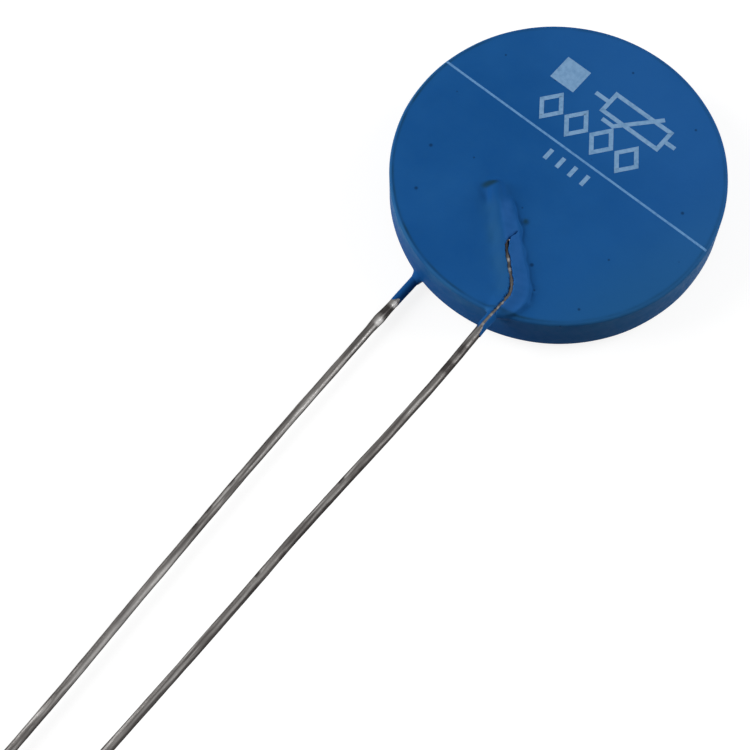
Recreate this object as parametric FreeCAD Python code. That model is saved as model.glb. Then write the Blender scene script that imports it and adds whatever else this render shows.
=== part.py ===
# Disc thermistor with crossed wire leads
#
# A ceramic disc carries a thin metal electrode on each face. A wire lead lies slantwise across each
# electrode in a line of solder, bends near the disc's lower edge and runs straight away from it.
# The disc is dipped in lacquer, which stands up as a mound over each soldered wire and creeps a little
# way down the leads. On the front the lacquer has drawn back from the wire's crest, so that bare wire
# shows in a groove.
#
# Millimetres. The origin is the centre of the lacquered rear face, +Z points out of the front face,
# and the leads run along -Y. The part lies on its rear side.

import FreeCAD, Part
import math
import os
from collections import namedtuple

Vector = FreeCAD.Vector
UP = Vector(0, 0, 1)

# Coated disc
DISC_DIAMETER = 17.1
DISC_THICKNESS = 2.5
COAT_EDGE_ROUND = 0.28
COAT_EDGE_FLAT_DEG = 30.0
FACE_COAT = 0.25
RIM_COAT = 0.25

# Ceramic and electrodes
CERAMIC_CHAMFER = 0.12
ELECTRODE_THICKNESS = 0.05
ELECTRODE_MARGIN = 0.5

# Wire leads, in each face's own view: the wire's tip is left of the centre and above its corner, and
# the corner is on the right, with its bend ending in from the rim. From there the lead runs straight
# down, and below its collar it kinks a little to the side
WIRE_DIAMETER = 0.5
WIRE_BEND_RADIUS = 1.0
WIRE_TIP_LEFT = 1.5
WIRE_TIP_RISE = 3.7
BEND_RIM_GAP = 0.95
LEAD_PITCH = 4.9
LEAD_SHIFT = 0.14
LEAD_LENGTH = 35.0
LEAD_KINK_RADIUS = 12.0
FRONT_LEAD_KINK_BELOW = 0.5
FRONT_LEAD_SPLAY_DEG = 0.85
REAR_LEAD_KINK_BELOW = 3.0
REAR_LEAD_LEAN_DEG = 2.7

# Solder under and beside each wire
SOLDER_FILM = 0.05
SOLDER_HALF_WIDTH = 0.5
SOLDER_HEIGHT = 0.45
SOLDER_TIP_LAP = 0.15

# Lacquer mounds over the soldered wires: a ridge along the wire and a low pool on its outer side
RIDGE_HALF_WIDTH = 0.62
RIDGE_HEIGHT = 0.45
POOL_HALF_WIDTH = 0.5
POOL_HEIGHT = 0.25
POOL_SHIFT = 0.51
POOL_START = 0.9
MOUND_RIM_GAP = 0.75

# Lacquer collars where the leads pass the rim
COLLAR_FLARE = 0.21
COLLAR_ROOT = 0.6
COLLAR_SLOPE_DEG = 45.0
COLLAR_FILM = 0.05
COLLAR_TIP_FILM = 0.02
FRONT_COLLAR_LENGTH = 0.7
REAR_COLLAR_LENGTH = 3.3

# Groove that bares the front wire, measured sideways from the wire's centre line
GROOVE_START = 2.75
GROOVE_TAPER = 0.9
GROOVE_INNER = 0.16
GROOVE_OUTER = 0.12
GROOVE_WALL_SLOPE_DEG = 21.0

# Worked out from the sizes above
DISC_RADIUS = DISC_DIAMETER / 2
CERAMIC_RADIUS = DISC_RADIUS - RIM_COAT
ELECTRODE_RADIUS = CERAMIC_RADIUS - ELECTRODE_MARGIN
ELECTRODE_TOP = DISC_THICKNESS - FACE_COAT
CERAMIC_TOP = ELECTRODE_TOP - ELECTRODE_THICKNESS
CERAMIC_BOTTOM = FACE_COAT + ELECTRODE_THICKNESS
WIRE_RADIUS = WIRE_DIAMETER / 2
WIRE_LEVEL = ELECTRODE_TOP + SOLDER_FILM + WIRE_RADIUS
MOUND_FOOT = FACE_COAT / 8
MOUND_BASE = COAT_EDGE_ROUND + FACE_COAT / 4
SOLDER_FOOT = ELECTRODE_THICKNESS / 2

Step = namedtuple("Step", "start heading length pivot turn_deg")


def disc_of(half_profile):
    """A disc about Z from the points of its half profile, each a radius and a level."""
    points = [Vector(radius, 0, level) for radius, level in half_profile]
    return Part.Face(Part.makePolygon(points + points[:1])).revolve(Vector(0, 0, 0), UP, 360)


def rounded_disc(radius, bottom, top, edge_round):
    """A disc whose two edges are rounded in a few narrow flats, which keeps its mesh light."""
    flats = round(90 / COAT_EDGE_FLAT_DEG)
    angles = [math.radians(90 * index / flats) for index in range(flats + 1)]
    edge = [
        (edge_round * (1 - math.sin(angle)), edge_round * (1 - math.cos(angle))) for angle in angles
    ]
    low = [(radius - inset, bottom + rise) for inset, rise in edge]
    high = [(radius - inset, top - drop) for inset, drop in reversed(edge)]
    return disc_of([(0, bottom)] + low + high + [(0, top)])


def chamfered_disc(radius, bottom, top, chamfer):
    """A disc whose two edges are chamfered, as pressed ceramic is."""
    low = [(0, bottom), (radius - chamfer, bottom), (radius, bottom + chamfer)]
    high = [(radius, top - chamfer), (radius - chamfer, top), (0, top)]
    return disc_of(low + high)


def left_of(heading):
    """The level unit vector on the left hand of a heading."""
    return UP.cross(heading)


def route_through(corners, bend_radii):
    """Straight runs joined by tangent arcs, as a list of steps along a level route."""
    steps = []
    start = corners[0]
    for index, radius in enumerate(bend_radii):
        corner = corners[index + 1]
        heading = (corner - start).normalize()
        onward = (corners[index + 2] - corner).normalize()
        turn = math.degrees(math.atan2(heading.cross(onward).z, heading.dot(onward)))
        setback = radius * math.tan(math.radians(abs(turn)) / 2)
        bend_start = corner - heading * setback
        steps.append(Step(start, heading, (bend_start - start).Length, None, 0))
        pivot = bend_start + left_of(heading) * math.copysign(radius, turn)
        steps.append(Step(bend_start, heading, 0, pivot, turn))
        start = corner + onward * setback
    heading = (corners[-1] - start).normalize()
    steps.append(Step(start, heading, (corners[-1] - start).Length, None, 0))
    return steps


def swept(section, steps):
    """Carries a section along a route: each run is an extrusion, each bend a turn about its pivot."""
    pieces = []
    for step in steps:
        face = section(step.start, step.heading)
        if step.pivot is None:
            pieces.append(face.extrude(step.heading * step.length))
        else:
            axis = UP if step.turn_deg > 0 else -UP
            pieces.append(face.revolve(step.pivot, axis, abs(step.turn_deg)))
    return pieces[0].multiFuse(pieces[1:]).removeSplitter()


def round_section(radius):
    """The section of a wire."""
    return lambda point, heading: Part.Face(Part.Wire(Part.makeCircle(radius, point, heading)))


def lacquer_half(half_width, height):
    """Half the section of a lacquer mound, from its crest out to its foot and down to its base.

    The crest arc and the skirt arc are equal and meet in a tangent.
    """
    drop = height + MOUND_FOOT
    radius = (half_width ** 2 + drop ** 2) / (4 * drop)
    quarter = math.atan(drop / half_width)
    across, down = radius * math.sin(quarter), radius * (1 - math.cos(quarter))

    def edges(frame):
        middle = frame(half_width / 2, height - drop / 2)
        crest = Part.Arc(frame(0, height), frame(across, height - down), middle)
        foot = frame(half_width, -MOUND_FOOT)
        skirt = Part.Arc(middle, frame(half_width - across, down - MOUND_FOOT), foot)
        base = frame(half_width, -MOUND_BASE)
        return [
            crest.toShape(),
            skirt.toShape(),
            Part.makeLine(foot, base),
            Part.makeLine(base, frame(0, -MOUND_BASE)),
            Part.makeLine(frame(0, -MOUND_BASE), frame(0, height)),
        ]

    return edges


def solder_half(half_width, height):
    """Half the section of a line of solder, with a straight flank."""
    def edges(frame):
        corners = [
            frame(0, height),
            frame(WIRE_RADIUS, height),
            frame(half_width, -SOLDER_FOOT),
            frame(0, -SOLDER_FOOT),
        ]
        return Part.makePolygon(corners + corners[:1]).Edges

    return edges


def mound(steps, half_section, shift=0.0):
    """A ridge along a route, with a round end at each end of it. Shift moves it to the route's left."""
    def half_face(point, heading, side):
        centre = point + left_of(heading) * shift

        def frame(across, up):
            return centre + left_of(heading) * (across * side) + UP * up

        return Part.Face(Part.Wire(half_section(frame)))

    def whole_face(point, heading):
        halves = half_face(point, heading, 1).fuse(half_face(point, heading, -1))
        return halves.removeSplitter().Faces[0]

    first, last = steps[0], steps[-1]
    end = last.start + last.heading * last.length
    first_pivot = first.start + left_of(first.heading) * shift
    end_pivot = end + left_of(last.heading) * shift
    round_ends = [
        half_face(first.start, first.heading, 1).revolve(first_pivot, UP, 180),
        half_face(end, last.heading, -1).revolve(end_pivot, UP, 180),
    ]
    return swept(whole_face, steps).multiFuse(round_ends).removeSplitter()


def collar(rim_point, heading, length):
    """Lacquer round a lead: it swells up to the rim, flares in beyond it and thins out to its end."""
    thick = WIRE_RADIUS + COLLAR_FLARE
    thin = WIRE_RADIUS + COLLAR_FILM
    slope = math.radians(COLLAR_SLOPE_DEG)
    flare_radius = (thick - thin) / (1 - math.cos(slope))
    flare_length = flare_radius * math.sin(slope)

    def at(along, radius):
        return rim_point + heading * along + UP * radius

    half_turn = slope / 2
    flare_middle = at(
        flare_length - flare_radius * math.sin(half_turn),
        thin + flare_radius * (1 - math.cos(half_turn)),
    )
    outline = [
        Part.makeLine(at(-COLLAR_ROOT, 0), at(-COLLAR_ROOT, WIRE_RADIUS / 2)),
        Part.makeLine(at(-COLLAR_ROOT, WIRE_RADIUS / 2), at(0, thick)),
        Part.Arc(at(0, thick), flare_middle, at(flare_length, thin)).toShape(),
        Part.makeLine(at(flare_length, thin), at(length, WIRE_RADIUS + COLLAR_TIP_FILM)),
        Part.makeLine(at(length, WIRE_RADIUS + COLLAR_TIP_FILM), at(length, 0)),
        Part.makeLine(at(length, 0), at(-COLLAR_ROOT, 0)),
    ]
    return Part.Face(Part.Wire(outline)).revolve(rim_point, heading, 360)


def groove(steps):
    """The channel over the front wire: it opens from a point and then follows the wire out."""
    floor_level = WIRE_RADIUS / 5
    top_level = RIDGE_HEIGHT + WIRE_RADIUS
    lean = (top_level - floor_level) * math.tan(math.radians(GROOVE_WALL_SLOPE_DEG))

    def outline(point, heading, size):
        side = left_of(heading)
        inner, outer = GROOVE_INNER * size, GROOVE_OUTER * size
        low = point + UP * floor_level
        high = point + UP * top_level
        corners = [
            low - side * inner,
            low + side * outer,
            high + side * (outer + lean * size),
            high - side * (inner + lean * size),
        ]
        return Part.makePolygon(corners + corners[:1])

    first = steps[0]
    point_end = outline(first.start - first.heading * GROOVE_TAPER, first.heading, 0.15)
    taper = Part.makeLoft([point_end, outline(first.start, first.heading, 1)], True, True)
    channel = swept(lambda point, heading: Part.Face(outline(point, heading, 1)), steps)
    return channel.fuse(taper)


def to_rear(shape):
    """Turns a piece made on the front face over to the rear face."""
    turned = shape.copy()
    turned.rotate(Vector(0, 0, DISC_THICKNESS / 2), Vector(0, 1, 0), 180)
    return turned


def at_level(points, level):
    """Level points from pairs of x and y."""
    return [Vector(x, y, level) for x, y in points]


def rim_depth(side_offset):
    """How far below the centre the disc's rim lies at a distance to the side."""
    return math.sqrt(DISC_RADIUS ** 2 - side_offset ** 2)


def wire_corners(lead_side, kink_below, lean_deg):
    """The points of one wire: its tip, its corner, its kink and its cut end."""
    slant = math.atan2(lead_side + WIRE_TIP_LEFT, WIRE_TIP_RISE)
    corner_inset = BEND_RIM_GAP + WIRE_BEND_RADIUS * math.tan(slant / 2)
    corner = (lead_side, corner_inset - rim_depth(lead_side))
    tip = (-WIRE_TIP_LEFT, corner[1] + WIRE_TIP_RISE)
    kink = (lead_side, -DISC_RADIUS - kink_below)
    end_y = -DISC_RADIUS - LEAD_LENGTH
    drift = (kink[1] - end_y) * math.tan(math.radians(lean_deg))
    return [tip, corner, kink, (lead_side + drift, end_y)]


def formed_wire(corners):
    """A wire bent at its corner and at its kink."""
    bends = [WIRE_BEND_RADIUS, LEAD_KINK_RADIUS]
    return swept(round_section(WIRE_RADIUS), route_through(at_level(corners, WIRE_LEVEL), bends))


def mound_route(corners, start_along, level):
    """The part of a wire's route that a mound follows, from its tip side to short of the rim."""
    tip, corner, onward = at_level(corners[:3], level)
    start = tip + (corner - tip).normalize() * start_along
    heading = (onward - corner).normalize()
    end = corner + heading * (rim_depth(corner.x) - MOUND_RIM_GAP + corner.y)
    return route_through([start, corner, end], [WIRE_BEND_RADIUS])


def solder_joint(corners, lead, electrode):
    """Solder along the slanting wire, from past its tip to the start of its bend."""
    tip, corner = at_level(corners[:2], ELECTRODE_TOP)
    heading = (corner - tip).normalize()
    start = tip - heading * SOLDER_TIP_LAP
    run = Step(start, heading, (corner - start).Length - WIRE_BEND_RADIUS, None, 0)
    bead = mound([run], solder_half(SOLDER_HALF_WIDTH, SOLDER_HEIGHT))
    return bead.cut(electrode).cut(lead)


def wire_ridge(corners):
    """The lacquer ridge over a wire."""
    steps = mound_route(corners, 0, DISC_THICKNESS)
    return mound(steps, lacquer_half(RIDGE_HALF_WIDTH, RIDGE_HEIGHT))


def wire_pool(corners):
    """The low pool of lacquer on the outer side of a ridge."""
    steps = mound_route(corners, POOL_START, DISC_THICKNESS)
    return mound(steps, lacquer_half(POOL_HALF_WIDTH, POOL_HEIGHT), POOL_SHIFT)


def lead_collar(corners, length):
    """The collar of one wire, set where its run crosses the rim."""
    corner, onward = at_level(corners[1:3], WIRE_LEVEL)
    heading = (onward - corner).normalize()
    rim_point = corner + heading * (rim_depth(corner.x) + corner.y)
    return collar(rim_point, heading, length)


def build():
    """All the pieces, by node name."""
    ceramic = chamfered_disc(CERAMIC_RADIUS, CERAMIC_BOTTOM, CERAMIC_TOP, CERAMIC_CHAMFER)
    electrode = Part.makeCylinder(ELECTRODE_RADIUS, ELECTRODE_THICKNESS, Vector(0, 0, CERAMIC_TOP))

    half_pitch = LEAD_PITCH / 2
    front_corners = wire_corners(half_pitch + LEAD_SHIFT, FRONT_LEAD_KINK_BELOW, FRONT_LEAD_SPLAY_DEG)
    rear_corners = wire_corners(half_pitch - LEAD_SHIFT, REAR_LEAD_KINK_BELOW, -REAR_LEAD_LEAN_DEG)
    front_lead = formed_wire(front_corners)
    rear_lead = formed_wire(rear_corners)

    front_solder = solder_joint(front_corners, front_lead, electrode)
    rear_solder = solder_joint(rear_corners, rear_lead, electrode)

    pieces = {
        "ceramic_disc": ceramic,
        "front_electrode": electrode,
        "rear_electrode": to_rear(electrode),
        "front_solder": front_solder,
        "rear_solder": to_rear(rear_solder),
        "front_lead": front_lead,
        "rear_lead": to_rear(rear_lead),
    }

    skin = rounded_disc(DISC_RADIUS, 0, DISC_THICKNESS, COAT_EDGE_ROUND)
    front_lacquer = [
        wire_ridge(front_corners),
        wire_pool(front_corners),
        lead_collar(front_corners, FRONT_COLLAR_LENGTH),
    ]
    rear_lacquer = [wire_ridge(rear_corners), lead_collar(rear_corners, REAR_COLLAR_LENGTH)]
    for piece in front_lacquer + [to_rear(piece) for piece in rear_lacquer]:
        skin = skin.fuse(piece)

    tip, corner, kink = at_level(front_corners[:3], WIRE_LEVEL)
    groove_start = tip + (corner - tip).normalize() * (GROOVE_START + GROOVE_TAPER)
    bared_below_corner = rim_depth(corner.x) + corner.y + FRONT_COLLAR_LENGTH * 2
    groove_end = corner + (kink - corner).normalize() * bared_below_corner
    bared = groove(route_through([groove_start, corner, groove_end], [WIRE_BEND_RADIUS]))
    pieces["lacquer_coat"] = skin.cut(list(pieces.values()) + [bared])
    return pieces


def main():
    """Writes one STEP file for each piece."""
    os.makedirs("parts", exist_ok=True)
    for name, shape in build().items():
        if len(shape.Solids) == 1:
            shape = shape.Solids[0]
        shape.exportStep(f"parts/{name}.step")
        print(f"{name}: {len(shape.Solids)} solid, {shape.Volume:.4f} mm3, valid {shape.isValid()}")


if __name__ == "__main__":
    main()
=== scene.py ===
"""Visual model of a lacquered disc thermistor with two crossed wire leads.

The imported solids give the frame. This script adds what they leave plain: the lacquer that has run over
the soldered wires and drawn back from one of them, the dull tinned wires, and the printed marking.
The sizes in the classes are millimetres, in the same frame as the solids.
"""

import logging
import math
from dataclasses import dataclass
from enum import Enum
from functools import reduce

import bpy
import numpy as np
from mathutils import Matrix, Vector


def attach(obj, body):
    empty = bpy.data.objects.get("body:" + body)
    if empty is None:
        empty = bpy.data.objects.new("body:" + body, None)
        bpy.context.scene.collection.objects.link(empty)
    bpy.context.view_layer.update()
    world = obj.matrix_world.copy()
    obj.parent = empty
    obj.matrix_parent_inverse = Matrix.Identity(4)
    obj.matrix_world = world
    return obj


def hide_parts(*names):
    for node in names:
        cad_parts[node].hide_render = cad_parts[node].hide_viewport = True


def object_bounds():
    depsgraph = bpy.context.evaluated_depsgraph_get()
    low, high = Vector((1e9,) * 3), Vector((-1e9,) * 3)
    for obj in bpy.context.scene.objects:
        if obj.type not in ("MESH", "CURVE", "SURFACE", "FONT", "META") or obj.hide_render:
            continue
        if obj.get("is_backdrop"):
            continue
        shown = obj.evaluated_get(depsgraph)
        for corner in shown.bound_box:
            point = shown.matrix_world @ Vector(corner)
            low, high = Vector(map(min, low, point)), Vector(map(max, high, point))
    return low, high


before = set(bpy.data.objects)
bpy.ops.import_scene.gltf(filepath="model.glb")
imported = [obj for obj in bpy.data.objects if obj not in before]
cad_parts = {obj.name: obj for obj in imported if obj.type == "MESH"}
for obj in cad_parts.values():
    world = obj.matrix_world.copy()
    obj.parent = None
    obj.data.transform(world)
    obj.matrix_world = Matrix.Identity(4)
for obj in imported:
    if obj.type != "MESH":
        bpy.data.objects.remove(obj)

Points = np.ndarray
Faces = list[tuple[int, ...]]
Shell = tuple[Points, Faces]
Pair = tuple[float, float]
Triple = tuple[float, float, float]
Colour = tuple[float, float, float]
Piece = bpy.types.Object
Material = bpy.types.Material
Socket = bpy.types.NodeSocket
Value = Socket | float | Triple
Patches = tuple[Triple, ...]

MM = 0.001
UP = np.array([0.0, 0.0, 1.0])
IN_PLAN = np.array([1.0, 1.0, 0.0])
WHITE: Colour = (1.0, 1.0, 1.0)
WAVES = 7

log = logging.getLogger("thermistor")


# Distances and blends, in millimetres


def smooth_union(first: Points, second: Points, blend: float) -> Points:
    """Distances to two forms together, which run into each other over the width of the blend."""
    share = np.clip(0.5 + 0.5 * (second - first) / blend, 0.0, 1.0)
    return second * (1.0 - share) + first * share - blend * share * (1.0 - share)


def smooth_cut(body: Points, tool: Points, blend: float) -> Points:
    """Distances to what a tool leaves of a body, with a rounded lip as wide as the blend."""
    return -smooth_union(-body, tool, blend)


def ease(value: Points, start: float, end: float) -> Points:
    """Rises from 0 at start to 1 at end with no corner."""
    share = np.clip((value - start) / (end - start), 0.0, 1.0)
    return share * share * (3.0 - 2.0 * share)


def span(value: Points, rise: Pair, fall: Pair) -> Points:
    """Rises from 0 to 1 over one range and falls back to 0 over another."""
    return ease(value, *rise) * (1.0 - ease(value, *fall))


def bell(distance: Points, width: float) -> Points:
    """A bump of height 1 that fades over a width."""
    return np.exp(-((distance / width) ** 2))


def ripples(points: Points, wavelength: float, seed: int) -> Points:
    """A smooth uneven field between about -1 and 1, the same on each run.

    Args:
        points: Where to evaluate it.
        wavelength: Typical distance between crests.
        seed: Seed of the random directions.

    Returns:
        One value for each point.
    """
    random = np.random.default_rng(seed)
    total = np.zeros(len(points))
    for _ in range(WAVES):
        direction = random.normal(size=3)
        direction /= np.linalg.norm(direction)
        length = wavelength * random.uniform(0.6, 1.6)
        phase = random.uniform(0.0, 2.0 * math.pi)
        total += np.sin(points @ direction * (2.0 * math.pi / length) + phase)
    return total / math.sqrt(WAVES)


def plan_length(points: Points) -> Points:
    """Lengths of rows in plan: for a point, how far it lies from the disc's axis."""
    return np.hypot(points[:, 0], points[:, 1])


def towards(points: Points, way: Pair) -> Points:
    """How far points lie towards a side in plan."""
    return points[:, :2] @ np.array(way)


def unit(ways: Points) -> Points:
    """Rows of directions, each made 1 long."""
    return ways / np.linalg.norm(ways, axis=1)[:, None]


def left_of(ways: Points) -> Points:
    """Rows of directions in plan, turned a quarter to the left."""
    return np.column_stack([-ways[:, 1], ways[:, 0]])


def nearest_on_path(plan: Points, path: Points) -> tuple[Points, Points, Points]:
    """Measures points against a path, in plan.

    Args:
        plan: Points as rows of x and y.
        path: The path's own points as rows of x and y.

    Returns:
        Distance to the path, distance along the path, and side (positive on its left hand).
    """
    best, along, side = np.full(len(plan), np.inf), np.zeros(len(plan)), np.ones(len(plan))
    travelled = 0.0
    for start, run in zip(path, np.diff(path, axis=0)):
        length = float(np.hypot(*run))
        heading, offset = run / length, plan - start
        reach = np.clip(offset @ heading, 0.0, length)
        distance = plan_length(offset - reach[:, None] * heading)
        closer = distance < best
        best[closer], along[closer] = distance[closer], travelled + reach[closer]
        side[closer] = np.sign(heading[0] * offset[closer, 1] - heading[1] * offset[closer, 0])
        travelled += length
    return best, along, side


def stations_of(path: Points) -> Points:
    """Distance along a path at each of its points."""
    return np.concatenate([[0.0], np.cumsum(plan_length(np.diff(path, axis=0)))])


def rounded_route(corners: list[Pair], bends: list[float], step: float) -> Points:
    """A formed wire's centre line: straight runs joined by arcs.

    Args:
        corners: The route's corners.
        bends: Bend radius at each inner corner.
        step: Distance between points on the arcs.

    Returns:
        Rows of x and y.
    """
    line = np.array(corners)
    headings = unit(np.diff(line, axis=0))
    points = [line[0]]
    for corner, heading, onward, radius in zip(line[1:], headings, headings[1:], bends):
        left = np.array([-heading[1], heading[0]])
        turn = math.atan2(left @ onward, heading @ onward)
        start = corner - heading * (radius * math.tan(abs(turn) / 2.0))
        for angle in turn * np.linspace(0.0, 1.0, max(3, int(abs(turn) * radius / step) + 1)):
            across = left * (math.copysign(radius, turn) * (1.0 - math.cos(angle)))
            points.append(start + heading * (radius * math.sin(abs(angle))) + across)
    return np.array([*points, line[-1]])


# Meshes


def bands(rings: int, count: int) -> Faces:
    """The four-sided faces between rings of points that follow each other.

    Args:
        rings: How many rings there are.
        count: Points in each ring.

    Returns:
        The faces, ring by ring.
    """
    faces = []
    for ring in range(rings - 1):
        a, b = ring * count, (ring + 1) * count
        faces += [(a + k, b + k, b + (k + 1) % count, a + (k + 1) % count) for k in range(count)]
    return faces


def joined(shells: list[Shell]) -> Shell:
    """Puts several shells together.

    Args:
        shells: Points and faces of each.

    Returns:
        Points and faces of all of them.
    """
    points, faces = np.zeros((0, 3)), []
    for more, more_faces in shells:
        faces += [tuple(index + len(points) for index in face) for face in more_faces]
        points = np.vstack([points, more])
    return points, faces


def mesh_object(name: str, points: Points, faces: Faces) -> Piece:
    """Makes a smooth mesh object whose place is in its mesh.

    Args:
        name: Name of the piece.
        points: Vertices in millimetres.
        faces: Vertex numbers of each face, counter-clockwise from outside.

    Returns:
        The new object, linked to the scene.
    """
    mesh = bpy.data.meshes.new(name)
    mesh.from_pydata((np.asarray(points) * MM).tolist(), [], faces)
    mesh.validate()
    mesh.shade_smooth()
    piece = bpy.data.objects.new(name, mesh)
    bpy.context.scene.collection.objects.link(piece)
    return piece


def hand_over(piece: Piece, slot: str, *nodes: str) -> None:
    """Puts a finished piece on the part's one body and hides the solids that it stands for.

    Args:
        piece: The finished piece.
        slot: Name of its material slot, which is only logged.
        nodes: The solids that it replaces.
    """
    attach(piece, "root")
    if nodes:
        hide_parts(*nodes)
    log.info("%s: %d faces, slot %s", piece.name, len(piece.data.polygons), slot)


# Node trees


class NodeWeb:
    """Adds nodes to a tree from left to right."""

    def __init__(self, tree: bpy.types.NodeTree) -> None:
        """Empties the tree that the nodes go to."""
        self.tree = tree
        tree.nodes.clear()

    def feed(self, socket: Socket, value: object) -> None:
        """Links or sets an input.

        Args:
            socket: The input.
            value: A socket or a constant, where None leaves the input as it is.
        """
        if isinstance(value, Socket):
            self.tree.links.new(value, socket)
        elif value is not None:
            socket.default_value = (*value, 1.0) if socket.type == "RGBA" else value

    def put(self, kind: str, *values: object, **named: object) -> bpy.types.Node:
        """Adds a node and feeds it.

        Args:
            kind: Blender's node type.
            values: What goes to its inputs, in order.
            named: First its properties, in small letters, then inputs by name, with underscores as spaces.

        Returns:
            The new node.
        """
        node = self.tree.nodes.new(kind)
        for key, value in named.items():
            if key.islower():
                setattr(node, key, value)
            else:
                self.feed(node.inputs[key.replace("_", " ")], value)
        for socket, value in zip(node.inputs, values):
            self.feed(socket, value)
        return node

    def math(self, operation: str, first: Value, second: Value = 0.0) -> Socket:
        """One sum on two sockets or numbers."""
        return self.put("ShaderNodeMath", first, second, operation=operation).outputs[0]

    def times(self, first: Value, second: Value) -> Socket:
        """Two sockets or numbers multiplied."""
        return self.math("MULTIPLY", first, second)

    def plus(self, first: Value, second: Value) -> Socket:
        """Two sockets or numbers added."""
        return self.math("ADD", first, second)


class Pattern(NodeWeb):
    """The nodes of one material: a base colour, the tints laid over it, and the shader."""

    def __init__(self, name: str, colour: Colour) -> None:
        """Starts a material.

        Args:
            name: Its name.
            colour: Its base colour.
        """
        self.material, self.colour = bpy.data.materials.new(name), colour
        self.material.use_nodes = True
        super().__init__(self.material.node_tree)
        self.shader = self.put("ShaderNodeBsdfPrincipled")
        self.put("ShaderNodeOutputMaterial", self.shader.outputs[0])

    def plain(self) -> Socket:
        """Object coordinates in millimetres."""
        place = self.put("ShaderNodeTexCoord").outputs["Object"]
        return self.put("ShaderNodeMapping", Vector=place, Scale=(1.0 / MM,) * 3).outputs["Vector"]

    def noise(self, where: Socket, scale: float, detail: float = 2.0) -> Socket:
        """Cloudy noise at a scale per millimetre."""
        return self.put("ShaderNodeTexNoise", Vector=where, Scale=scale, Detail=detail).outputs["Fac"]

    def ramp(self, value: Socket, low: float, high: float, start: float = 0.0, end: float = 1.0) -> Socket:
        """Maps the range from low to high to the one from start to end, clamped."""
        return self.put("ShaderNodeMapRange", value, low, high, start, end).outputs["Result"]

    def attribute(self, name: str, output: str = "Fac") -> Socket:
        """A value that the mesh stores at its vertices."""
        return self.put("ShaderNodeAttribute", attribute_name=name).outputs[output]

    def tint(self, share: Value, colour: Colour) -> None:
        """Lays a share of another colour over the base colour."""
        inputs = share, *[None] * 5, self.colour, colour
        self.colour = self.put("ShaderNodeMix", *inputs, data_type="RGBA").outputs[2]

    def bump(self, height: Socket, depth: float) -> None:
        """Raises the surface by a height field, with its full depth in millimetres."""
        node = self.put("ShaderNodeBump", Height=height, Distance=depth * MM, Strength=1.0)
        self.feed(self.shader.inputs["Normal"], node.outputs["Normal"])

    def finish(self, **values: Value) -> Material:
        """Feeds the shader.

        Args:
            values: Its inputs by name, with underscores as spaces.

        Returns:
            The material.
        """
        for name, value in {"Base_Color": self.colour, **values}.items():
            self.feed(self.shader.inputs[name.replace("_", " ")], value)
        return self.material


# Finishes


@dataclass(frozen=True)
class LacquerFinish:
    """Blue dipped lacquer: satin, faintly cloudy, with pinholes and dust in it, and with painted shade,
    highlight and sheen among its tints.

    A spot is a pinhole on the face: its x, its y and its radius.
    """

    deep: Colour = (0.0088, 0.080, 0.268)
    light: Colour = (0.0120, 0.093, 0.294)
    # Next come the tints: a dark stain colour, which also paints shade along the front edge; haze; a lighter
    # blue, which paints a highlight over the pool; and a pale blue, mostly a painted sheen below the front
    # edge.
    stain_and_shade: Colour = (0.010, 0.045, 0.085)
    haze: Colour = (0.017, 0.099, 0.252)
    clear: Colour = (0.023, 0.117, 0.358)
    wear_and_sheen: Colour = (0.030, 0.140, 0.320)
    fleck: Colour = (0.004, 0.020, 0.060)
    roughness: Pair = (0.42, 0.58)
    relief: float = 0.018
    face_level: float = 2.5
    spots: tuple[Triple, ...] = (
        (-4.81, -5.43, 0.13), (-5.83, -3.07, 0.13), (6.25, 2.10, 0.12), (2.95, -6.10, 0.10),
        (5.60, -5.35, 0.10), (3.90, 6.30, 0.09), (-0.60, 6.90, 0.09), (-6.30, 3.50, 0.08),
        (5.05, -2.30, 0.08), (-3.70, -2.20, 0.07), (2.33, -4.98, 0.14),
    )

    def build(self) -> Material:
        """Builds the nodes.

        Returns:
            The material.
        """
        web = Pattern("blue_lacquer", self.deep)
        plain = web.plain()
        grain = web.noise(plain, 2.6, 3.0)
        web.tint(web.ramp(web.noise(plain, 0.22, 3.0), 0.38, 0.62), self.light)
        web.tint(web.times(web.ramp(grain, 0.35, 0.8), 0.14), self.haze)
        web.tint(web.times(web.attribute("haze"), 0.8), self.haze)
        # Painted highlight over the pool's flat top, and a lighter tone towards one side of the face.
        web.tint(web.times(web.attribute("clear"), 0.8), self.clear)
        # A paler band below the front edge: faint all round, and mostly a painted sheen on the lit sides.
        web.tint(web.times(web.attribute("wear_and_sheen"), 0.75), self.wear_and_sheen)
        # Stains, and the dark edge line with its painted shade and painted shadow.
        web.tint(web.attribute("stain_and_shade"), self.stain_and_shade)
        cells = web.put("ShaderNodeTexVoronoi", Vector=plain, Scale=0.9, Randomness=1.0).outputs
        near = web.ramp(cells["Distance"], 0.035, 0.075, 1.0, 0.0)
        rare = web.ramp(web.put("ShaderNodeSeparateColor", cells["Color"]).outputs[0], 0.80, 0.84)
        web.tint(web.times(web.times(near, rare), 0.6), self.fleck)
        for x, y, size in self.spots:
            apart = web.put("ShaderNodeVectorMath", plain, (x, y, self.face_level), operation="DISTANCE")
            web.tint(web.ramp(apart.outputs["Value"], size * 0.35, size, 0.7, 0.0), self.fleck)
        web.bump(web.plus(web.noise(plain, 1.6), web.times(web.noise(plain, 7.0), 0.25)), self.relief)
        return web.finish(Roughness=web.ramp(grain, 0.3, 0.7, *self.roughness), Specular_IOR_Level=0.012)


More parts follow.
